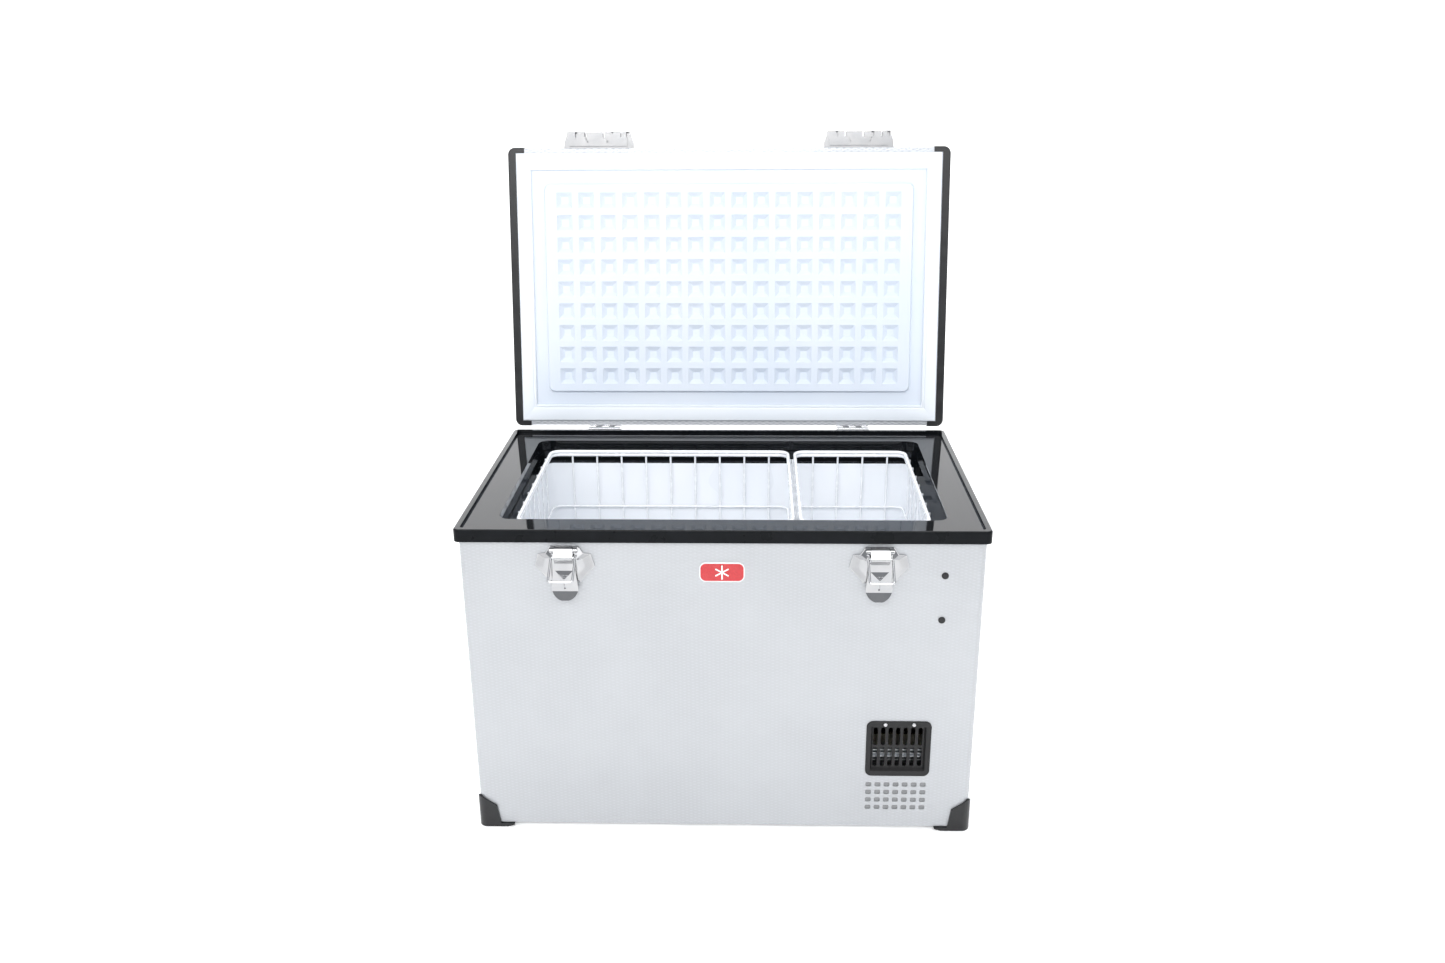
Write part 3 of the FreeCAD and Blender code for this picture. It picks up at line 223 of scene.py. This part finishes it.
def rim_plastic():
    """Glossy inside the raised lip and on top of it, satin on the outer skirt."""
    net = Net("rim_plastic", Coat_Roughness=0.03, IOR=1.52, Specular_IOR_Level=0.12)
    place = net.position()
    half = (RIM_HIGH - RIM_LOW) / 2
    across = net.math("ABSOLUTE", net.dot(place, (1, 0, 0)))
    along = net.math("ABSOLUTE", net.math("SUBTRACT", net.dot(place, (0, 1, 0)), MIDDLE_Y))
    inside = net.math("MULTIPLY", net.smooth(across, half.x - LIP_OUTER, half.x - LIP_INNER),
                      net.smooth(along, half.y - LIP_OUTER, half.y - LIP_INNER))
    level = net.smooth(net.dot(net.normal(), (0, 0, 1)), 0.8, 0.97)
    share = net.math("MAXIMUM", inside, level)
    haze = net.noise(26.0, 4.0, 0.6)
    satin = net.smooth(haze, 0.3, 0.7, 0.26, 0.34)
    gloss = net.smooth(haze, 0.35, 0.7, 0.03, 0.06)
    roughness = net.math("ADD", net.math("MULTIPLY", gloss, share),
                         net.math("MULTIPLY", satin, net.math("SUBTRACT", 1.0, share)))
    base = net.mix(net.smooth(haze, 0.3, 0.7), rgb(0.003, 0.004, 0.005), rgb(0.006, 0.007, 0.009))
    net.put(net.shader.inputs["Coat Weight"], net.math("MULTIPLY", share, 0.45))
    return net.finish(base, roughness, net.bump(net.noise(900.0, 2.0), 0.00003, 0.2))


def moulded(name, dark, light, roughness, grain=850.0, depth=0.00012, **surface):
    """Moulded plastic with a fine grain and faint handling marks."""
    net = Net(name, **surface)
    texture = net.noise(grain, 3.0, 0.6)
    marks = net.noise(35.0, 5.0, 0.65)
    base = net.mix(net.smooth(marks, 0.3, 0.7), rgb(*dark), rgb(*light))
    rough = net.smooth(marks, 0.3, 0.7, roughness - 0.05, roughness + 0.05)
    return net.finish(base, rough, net.bump(texture, depth, 0.5))


def white_abs(name, low, high, roughness):
    net = Net(name, Coat_Weight=0.15, Coat_Roughness=0.3, IOR=1.5)
    sway = net.noise(5.0, 2.0)
    orange = net.noise(260.0, 2.0, 0.5)
    base = net.mix(net.smooth(sway, 0.3, 0.7), rgb(*low), rgb(*high))
    rough = net.smooth(sway, 0.3, 0.7, roughness - 0.04, roughness + 0.04)
    ripple = net.bump(sway, 0.0006, 0.2)
    return net.finish(base, rough, net.bump(orange, 0.00006, 0.35, ripple))


def chrome(name, base, roughness=0.07):
    """Plated die-casting: bright, a little wavy, with faint wiping marks."""
    net = Net(name, Metallic=1.0)
    waves = net.noise(55.0, 2.0)
    wipes = net.noise(300.0, 4.0, 0.7)
    light, dark = rgb(base, base, base * 1.01), rgb(base * 0.92, base * 0.93, base * 0.95)
    tint = net.mix(net.smooth(waves, 0.3, 0.7), light, dark)
    rough = net.math("ADD", net.smooth(wipes, 0.45, 0.8, 0.0, 0.09), roughness)
    return net.finish(tint, rough, net.bump(waves, 0.0005, 0.18))


def brushed(name, base, roughness, direction):
    """Metal with fine lines running along direction."""
    net = Net(name, Metallic=1.0)
    place = net.position()
    stretch = Vector((900.0, 900.0, 900.0)) - Vector(direction) * 870.0
    scaled = net.node("ShaderNodeVectorMath", ((0, place), (1, stretch)), operation="MULTIPLY").outputs[0]
    lines = net.noise(1.0, 3.0, 0.6, scaled)
    tint = net.mix(net.smooth(lines, 0.3, 0.7), rgb(*[c * 0.88 for c in base]), rgb(*base))
    rough = net.smooth(lines, 0.3, 0.7, roughness - 0.06, roughness + 0.08)
    return net.finish(tint, rough, net.bump(lines, 0.00004, 0.4))


def condenser_metal():
    """Bright fins, and the dull woven screen in front of them."""
    net = Net("fin_aluminium")
    place = net.position()
    front = net.dot(place, (0, 1, 0))
    screen = net.smooth(front, SCREEN_BACK, SCREEN_FACE)
    weave = net.noise(1500.0, 2.0, 0.6)
    lines = net.noise(300.0, 3.0, 0.6)
    fins = net.mix(net.smooth(lines, 0.3, 0.7), rgb(0.60, 0.62, 0.64), rgb(0.72, 0.74, 0.76))
    cloth = net.mix(net.smooth(weave, 0.35, 0.65), rgb(0.23, 0.235, 0.24), rgb(0.32, 0.325, 0.33))
    rough = net.smooth(screen, 0.0, 1.0, 0.32, 0.8)
    metallic = net.math("SUBTRACT", 1.0, screen)
    return net.finish(net.mix(screen, fins, cloth), rough, net.bump(weave, 0.0001, 0.3), metallic)


def rubber(name, low, high, grain):
    net = Net(name, IOR=1.45)
    texture = net.noise(grain, 4.0, 0.7)
    base = net.mix(net.smooth(texture, 0.35, 0.65), rgb(*low), rgb(*high))
    return net.finish(base, net.smooth(texture, 0.3, 0.7, 0.55, 0.72), net.bump(texture, 0.0002, 0.45))


def coated_wire():
    net = Net("coated_wire", Coat_Weight=0.4, Coat_Roughness=0.12, IOR=1.5)
    drips = net.noise(110.0, 3.0)
    base = net.mix(net.smooth(drips, 0.3, 0.7), rgb(0.90, 0.915, 0.945), rgb(0.93, 0.945, 0.965))
    return net.finish(base, net.smooth(drips, 0.3, 0.7, 0.20, 0.30), net.bump(drips, 0.0003, 0.25))


def foam():
    net = Net("blown_foam")
    inputs = (("Vector", net.position()), ("Scale", 900.0))
    cells = net.node("ShaderNodeTexVoronoi", inputs).outputs["Distance"]
    base = net.mix(net.smooth(net.noise(20.0), 0.3, 0.7), rgb(0.80, 0.70, 0.45), rgb(0.86, 0.78, 0.56))
    return net.finish(base, 0.9, net.bump(cells, 0.0006, 0.6))


def badge_enamel():
    """Red panel with a bright border, and a raised pale snowflake."""
    net = Net("badge_enamel", Coat_Weight=0.8, Coat_Roughness=0.05)
    low, high = corners("badge")
    centre = (low + high) / 2
    place = net.position()
    reach = []
    for direction, middle, half in (((1, 0, 0), centre.x, (high.x - low.x) / 2 - BADGE_ROUND),
                                    ((0, 0, 1), centre.z, (high.z - low.z) / 2 - BADGE_ROUND)):
        away = net.math("ABSOLUTE", net.math("SUBTRACT", net.dot(place, direction), middle))
        reach.append(net.math("MAXIMUM", net.math("SUBTRACT", away, half), 0.0))
    squares = [net.math("MULTIPLY", value, value) for value in reach]
    edge = net.math("SQRT", net.math("ADD", squares[0], squares[1]))
    border = net.smooth(edge, *BADGE_BORDER)
    raised = net.smooth(net.dot(place, (0, 1, 0)), low.y + RAISED_FACE[0], low.y + RAISED_FACE[1])
    fleck = net.noise(400.0)
    red = net.mix(net.smooth(fleck, 0.3, 0.7), rgb(0.46, 0.004, 0.009), rgb(0.56, 0.006, 0.013))
    colour = net.mix(border, red, rgb(0.78, 0.79, 0.80))
    colour = net.mix(raised, colour, rgb(0.90, 0.90, 0.90))
    return net.finish(colour, net.smooth(fleck, 0.3, 0.7, 0.16, 0.26), net.bump(fleck, 0.00005, 0.2))


def display_glass():
    net = Net("display_glass", Coat_Weight=1.0, Coat_Roughness=0.03)
    mist = net.noise(80.0, 3.0)
    base = net.mix(net.smooth(mist, 0.3, 0.7), rgb(0.006, 0.010, 0.014), rgb(0.012, 0.018, 0.024))
    return net.finish(base, net.smooth(mist, 0.3, 0.7, 0.05, 0.12), net.bump(mist, 0.0001, 0.05))


def dress(material, *nodes):
    """Give carried-over CAD nodes a material."""
    for node in nodes:
        mesh = frame["nodes"][node].data
        mesh.materials.clear()
        mesh.materials.append(material)


def both(name):
    return [name + "_left", name + "_right"]


def dress_cad():
    x_axis, y_axis, z_axis = Vector((1, 0, 0)), Vector((0, 1, 0)), Vector((0, 0, 1))
    dress(embossed_steel("embossed_front", x_axis, z_axis), "front_panel", "rear_panel")
    dress(embossed_steel("embossed_side", y_axis, z_axis), *both("side_panel"))
    dress(lid_steel(), "lid_shell")
    dress(galvanised(), "base_pan")
    dress(rim_plastic(), "top_rim", "throat_caps")
    black = moulded("black_moulding", (0.006, 0.006, 0.007), (0.011, 0.012, 0.013), 0.36)
    feet = ["corner_foot_%s_%s" % (end, side) for end in ("front", "rear") for side in ("left", "right")]
    dress(black, *feet, *both("lid_trim"), "hole_plugs", "control_bezel", "dc_inlet", "ac_inlet")
    dress(moulded("grille_moulding", (0.003, 0.003, 0.0035), (0.005, 0.005, 0.0055), 0.52), "vent_grille")
    dress(moulded("fan_plastic", (0.010, 0.010, 0.011), (0.016, 0.016, 0.018), 0.5),
          "fan_shroud", "fan_blades")
    dress(moulded("control_case", (0.09, 0.09, 0.10), (0.12, 0.12, 0.13), 0.5), "control_box")
    dress(moulded("button_plastic", (0.16, 0.17, 0.18), (0.22, 0.23, 0.24), 0.45),
          "button_power", "button_down", "button_up")
    # Painted shade: the lid's liner is the same white ABS as the inner liner, coloured darker and bluer for
    # the bluish shade that falls on it.
    dress(white_abs("lid_liner_abs_painted_shade", (0.71, 0.775, 0.87), (0.75, 0.80, 0.875), 0.36),
          "lid_inner_panel", "lid_plug")
    dress(white_abs("liner_abs", (0.90, 0.93, 0.97), (0.93, 0.95, 0.98), 0.30), "inner_liner")
    dress(chrome("chrome", 0.50), *both("latch_base"), *both("latch_lever"))
    dress(chrome("satin_casting", 0.23, 0.28), *both("keeper"))
    dress(chrome("polished_steel", 0.70, 0.10), *both("latch_bail"), *both("hinge_body_leaf"),
          *both("hinge_lid_leaf"), "hinge_pins", *both("handle_bail"), *both("handle_plate"))
    dress(brushed("screw_steel", (0.66, 0.66, 0.67), 0.28, (1, 0, 0)), "screws", "lid_screws")
    dress(rubber("grip_rubber", (0.012, 0.012, 0.013), (0.030, 0.030, 0.032), 420.0), *both("handle_grip"),
          "compressor_mounts")
    dress(foam(), "insulation_foam", "lid_foam")
    dress(badge_enamel(), "badge")
    dress(display_glass(), "control_display")
    dress(condenser_metal(), "condenser")
    dress(brushed("copper_tube", (0.72, 0.36, 0.22), 0.30, (0, 1, 0)), "refrigerant_lines")
    dress(moulded("compressor_enamel", (0.008, 0.008, 0.009), (0.014, 0.014, 0.015), 0.3, 200.0),
          "compressor")


# ---- wire baskets ------------------------------------------------------------------------------
RAIL, WIRE = 2.5 * MM, 1.5 * MM
CORNER = 14 * MM
RAIL_IN = 5.0 * MM                      # centre of the rails, in from the basket's box
RAIL_PITCH, MID_RING, LOW_RING = 5.2 * MM, 95 * MM, 9 * MM
HOOP_PITCH, HOOP_SHIFT = (39 * MM, 38 * MM), 1.5 * MM
SIDE_HOOPS = 7                          # hoops that run from left to right
CROSSING = 2.9 * WIRE                   # their height over the floor, on top of the other hoops
RING_OUT = RAIL_IN - 3 * WIRE + 0.4 * MM  # thin rings, out from the rails; they touch the hoops


def wire_spline(curve, points, closed=False):
    spline = curve.splines.new("POLY")
    spline.points.add(len(points) - 1)
    for point, place in zip(spline.points, points):
        point.co = (*place, 1.0)
    spline.use_cyclic_u = closed


def arc(centre, first, second, radius, steps=6):
    """Quarter turn from direction first to direction second about centre."""
    angles = [math.pi / 2 * i / steps for i in range(steps + 1)]
    return [centre + first * (radius * math.cos(a)) + second * (radius * math.sin(a)) for a in angles]


def ring_points(x0, y0, x1, y1, z, radius):
    right, back = Vector((1, 0, 0)), Vector((0, 1, 0))
    points = arc(Vector((x1 - radius, y1 - radius, z)), right, back, radius)
    points += arc(Vector((x0 + radius, y1 - radius, z)), back, -right, radius)
    points += arc(Vector((x0 + radius, y0 + radius, z)), -right, -back, radius)
    points += arc(Vector((x1 - radius, y0 + radius, z)), -back, right, radius)
    return points


def hoop_points(start, end, floor, top, outward, radius=8 * MM):
    """U-shaped wire: down one wall, across the floor and up the other wall."""
    up = Vector((0, 0, 1))
    points = [start + up * top]
    points += arc(start - outward * radius + up * (floor + radius), outward, -up, radius)
    points += arc(end + outward * radius + up * (floor + radius), -up, -outward, radius)
    return points + [end + up * top]


def make_wires(name, loops, radius, material):
    curve = bpy.data.curves.new(name, "CURVE")
    curve.dimensions = "3D"
    curve.bevel_depth = radius
    curve.bevel_resolution = 3
    for points, closed in loops:
        wire_spline(curve, points, closed)
    made = bpy.data.objects.new(name, curve)
    bpy.context.collection.objects.link(made)
    solid = bpy.data.meshes.new_from_object(made.evaluated_get(bpy.context.evaluated_depsgraph_get()))
    bpy.data.objects.remove(made)
    piece = bpy.data.objects.new(name, solid)
    bpy.context.collection.objects.link(piece)
    for face in solid.polygons:
        face.use_smooth = True
    solid.materials.clear()
    solid.materials.append(material)
    return piece


def basket(node, across, material):
    """Rails and hoops of one basket; across is how many hoops run from front to back."""
    low, high = corners(node)
    top = high.z - RAIL
    x0, x1, y0, y1 = low.x + RAIL_IN, high.x - RAIL_IN, low.y + RAIL_IN, high.y - RAIL_IN
    rails = [(ring_points(x0, y0, x1, y1, z, CORNER), True) for z in (top, top - RAIL_PITCH)]
    rings = [(ring_points(x0 - RING_OUT, y0 - RING_OUT, x1 + RING_OUT, y1 + RING_OUT, z, CORNER), True)
             for z in (high.z - MID_RING, low.z + LOW_RING)]
    middle = (low + high) / 2
    hoops = []
    for i in range(across):
        x = middle.x + HOOP_SHIFT + (i - (across - 1) / 2) * HOOP_PITCH[0]
        hoops.append((hoop_points(Vector((x, low.y + WIRE, 0)), Vector((x, high.y - WIRE, 0)),
                                  low.z + WIRE, top, Vector((0, -1, 0))), False))
    for i in range(SIDE_HOOPS):
        y = middle.y + (i - (SIDE_HOOPS - 1) / 2) * HOOP_PITCH[1]
        hoops.append((hoop_points(Vector((low.x + WIRE, y, 0)), Vector((high.x - WIRE, y, 0)),
                                  low.z + CROSSING, top, Vector((-1, 0, 0))), False))
    pieces = [make_wires(node + "_rails", rails, RAIL, material),
              make_wires(node + "_wires", rings + hoops, WIRE, material)]
    for piece in pieces:
        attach(piece, node)
        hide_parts(node)


# ---- lid gasket --------------------------------------------------------------------------------
SEAL_WIDE = Vector((24 * MM, 26.5 * MM, 0))  # width at the lid's ends and at its front and back
MITRE_HALF, MITRE_DEEP = 0.8 * MM, 0.35 * MM  # the seam at each corner
SEAL_ROUND = 0.35 * MM
# (share of the width from the outer edge, share of the depth above the sealing face)
SEAL_PROFILE = [(0.0, 0.85), (0.02, 0.35), (0.05, 0.08), (0.09, 0.0), (0.77, 0.0), (0.80, 0.20),
                (0.83, 0.22), (0.86, 0.06), (0.90, 0.02), (0.955, 0.05), (0.985, 0.4), (1.0, 0.85)]


def seal_points():
    """The profile, set three times at each corner of the lid: before, in and after the seam."""
    low, high = closed_box("lid_gasket")
    inner_low, inner_high = low + SEAL_WIDE, high - SEAL_WIDE
    points = []
    for sx, sy in ((1, 1), (-1, 1), (-1, -1), (1, -1)):
        outer = Vector((high.x if sx > 0 else low.x, high.y if sy > 0 else low.y, 0))
        inner = Vector((inner_high.x if sx > 0 else inner_low.x, inner_high.y if sy > 0 else inner_low.y, 0))
        arriving = Vector((0, sy, 0)) if sx == sy else Vector((sx, 0, 0))
        leaving = Vector((-sx, 0, 0)) if sx == sy else Vector((0, -sy, 0))
        for shift, sink in ((arriving * -MITRE_HALF, 0.0), (Vector((0, 0, 0)), MITRE_DEEP),
                            (leaving * MITRE_HALF, 0.0)):
            for across, rise in SEAL_PROFILE:
                place = outer.lerp(inner, across) + shift
                place.z = low.z + (high.z - low.z) * rise + sink
                points.append(LID_TURN @ place)
    return points


def gasket(material):
    """Soft magnetic seal: one profile carried round the lid with mitred corners."""
    points, faces = seal_points(), []
    count = len(SEAL_PROFILE)
    sections = len(points) // count
    for section in range(sections):
        here, there = section * count, (section + 1) % sections * count
        for i in range(count - 1):
            faces.append((here + i, here + i + 1, there + i + 1, there + i))
        faces.append((here + count - 1, here, there, there + count - 1))
    mesh = bpy.data.meshes.new("lid_seal")
    mesh.from_pydata(points, [], faces)
    mesh.update()
    piece = bpy.data.objects.new("lid_seal", mesh)
    bpy.context.collection.objects.link(piece)
    round_edges = piece.modifiers.new("soft", "BEVEL")
    round_edges.width = SEAL_ROUND
    round_edges.segments = 2
    round_edges.angle_limit = math.radians(25)
    bake_modifiers(piece)
    mesh = piece.data
    mesh.materials.append(material)
    for face in mesh.polygons:
        face.use_smooth = True
    mesh.set_sharp_from_angle(angle=math.radians(40))
    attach(piece, "lid")
    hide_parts("lid_gasket")


def bake_modifiers(piece):
    """Replace the mesh by its modified form, so that no modifier is left."""
    shown = piece.evaluated_get(bpy.context.evaluated_depsgraph_get())
    piece.data = bpy.data.meshes.new_from_object(shown)
    piece.modifiers.clear()


# ---- stage, light and camera -------------------------------------------------------------------
BACK, BEND, WIDE, NEAR, TALL = 2.6, 1.2, 12.0, -6.0, 4.5    # the paper's places and sizes
BEND_STEPS = 16
CHEST = (0, MIDDLE_Y, 0.4)              # what most lights aim at
LIGHTS = [                              # name, place, aim, size, power
    ("key", (-1.8, -2.6, 2.4), CHEST, (2.6, 2.0), 36),
    ("fill", (2.4, -2.2, 1.6), CHEST, (1.8, 1.8), 16),
    ("front", (0, -1.7, 1.75), (0, 0.27, 0.7), (1.4, 0.4), 16),
    ("sky", (0, -3.2, 2.6), CHEST, (3.6, 1.6), 14),
    ("top", (0, -0.2, 3.2), (0, 0.1, 0), (2.6, 2.2), 14),
    ("paper", (0, 0.9, 3.4), (0, 2.4, 0.9), (4.0, 1.0), 62)]
AIR_COLOUR, AIR_STRENGTH = rgb(0.92, 0.95, 1.0), 0.45
CAMERA_FROM_MIDDLE = Vector((0.0414, -1.6841, 1.0453))   # from the floor under the chest's middle
PITCH, YAW, ROLL = math.radians(20.17), math.radians(1.548), math.radians(-0.347)
LENS, SENSOR, SHIFT_UP = 30.454, 36.0, 0.0083


def studio():
    """White paper that runs over the floor and curves up behind the chest."""
    net = Net("studio_paper", Roughness=0.9, Emission_Strength=0.25)
    paper = net.finish(net.mix(net.noise(3.0), rgb(0.95, 0.95, 0.95), rgb(0.97, 0.97, 0.97)))
    turns = [math.pi / 2 * i / BEND_STEPS for i in range(BEND_STEPS + 1)]
    curve = [(BACK - BEND + BEND * math.sin(a), BEND - BEND * math.cos(a)) for a in turns]
    outline = [(NEAR, 0.0)] + curve + [(BACK, TALL)]
    points = [(x, y, z) for y, z in outline for x in (-WIDE, WIDE)]
    faces = [(2 * i, 2 * i + 1, 2 * i + 3, 2 * i + 2) for i in range(len(outline) - 1)]
    mesh = bpy.data.meshes.new("studio_floor")
    mesh.from_pydata(points, [], faces)
    mesh.materials.append(paper)
    for face in mesh.polygons:
        face.use_smooth = True
    floor = bpy.data.objects.new("studio_floor", mesh)
    bpy.context.collection.objects.link(floor)


def area_light(name, place, aim, size, power):
    light = bpy.data.lights.new(name, "AREA")
    light.shape = "RECTANGLE"
    light.size, light.size_y = size
    light.energy = power
    made = bpy.data.objects.new(name, light)
    made.location = place
    made.rotation_euler = (Vector(aim) - Vector(place)).to_track_quat("-Z", "Y").to_euler()
    bpy.context.collection.objects.link(made)


def lights():
    for row in LIGHTS:
        area_light(*row)
    world = bpy.data.worlds.new("studio_air")
    world.use_nodes = True
    world.node_tree.nodes["Background"].inputs["Color"].default_value = AIR_COLOUR
    world.node_tree.nodes["Background"].inputs["Strength"].default_value = AIR_STRENGTH
    bpy.context.scene.world = world


def camera():
    data = bpy.data.cameras.new("view")
    data.lens, data.sensor_width = LENS, SENSOR
    data.shift_y = SHIFT_UP
    made = bpy.data.objects.new("view", data)
    turn = (Matrix.Rotation(YAW, 4, "Z") @ Matrix.Rotation(math.pi / 2 - PITCH, 4, "X")
            @ Matrix.Rotation(ROLL, 4, "Z"))
    made.matrix_world = Matrix.Translation(CAMERA_FROM_MIDDLE + Vector((0, MIDDLE_Y, 0))) @ turn
    bpy.context.collection.objects.link(made)
    bpy.context.scene.camera = made


# ---- build -------------------------------------------------------------------------------------
camera()
studio()
lights()
dress_cad()
gasket(white_abs("seal_vinyl", (0.82, 0.87, 0.93), (0.86, 0.90, 0.95), 0.42))
wire = coated_wire()
basket("basket_large", 9, wire)
basket("basket_small", 4, wire)
bpy.context.scene.view_settings.view_transform = "Standard"
